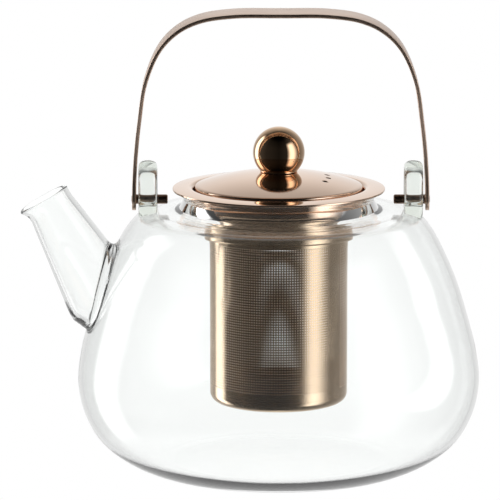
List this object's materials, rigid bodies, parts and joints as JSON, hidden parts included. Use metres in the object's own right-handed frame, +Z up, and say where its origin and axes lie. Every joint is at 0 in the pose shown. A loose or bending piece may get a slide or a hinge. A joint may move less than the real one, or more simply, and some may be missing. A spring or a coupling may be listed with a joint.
{
  "type": "teapot with tea infuser",
  "caption": "Clear glass teapot with a lift-out perforated steel tea infuser, domed lid with ball knob and a swinging bail handle.",
  "frame": {"origin": "centre of the flat foot of the pot, on the axis of the pot and the infuser", "axes": "+Z up along the pot's axis; the spout points to -X; the handle swings about an axis along X"},
  "size_m": [0.1929, 0.1696, 0.1947],
  "materials": {
    "clear_glass": "clear blown borosilicate glass, fire-polished edges",
    "polished_copper": "mirror-polished steel with a pale copper plating",
    "satin_bronze": "satin steel with a bronze-coloured plating",
    "perforated_bronze": "satin bronze-coloured sheet, perforated with fine square holes",
    "satin_copper": "satin copper-coloured strap, brushed along its length",
    "dark_pin": "turned pin, dark copper-coloured",
    "plain_steel": "plain stainless steel"
  },
  "bodies": {
    "pot": {"glass_body": "clear_glass", "glass_spout": "clear_glass", "glass_lug_left": "clear_glass", "glass_lug_right": "clear_glass"},
    "infuser": {"infuser_rim": "polished_copper", "neck_ring": "satin_bronze", "perforated_tube": "perforated_bronze", "basket_bottom": "perforated_bronze"},
    "lid": {"lid_dome": "polished_copper", "lid_skirt": "plain_steel", "knob_ball": "polished_copper", "knob_washer": "plain_steel", "knob_screw": "plain_steel"},
    "handle": {"handle_strap": "satin_copper", "hinge_pin_left": "dark_pin", "hinge_pin_right": "dark_pin"}
  },
  "joints": [
    {"name": "handle_swing", "type": "hinge", "parent": "pot", "child": "handle", "pos_m": [0, 0, 0.1151], "axis": [1, 0, 0], "range_deg": [-98, 98]},
    {"name": "infuser_lift", "type": "slide", "parent": "pot", "child": "infuser", "axis": [0, 0, 1], "range_m": [0, 0.026]},
    {"name": "lid_lift", "type": "slide", "parent": "infuser", "child": "lid", "axis": [0, 0, 1], "range_m": [0, 0.018]}
  ]
}
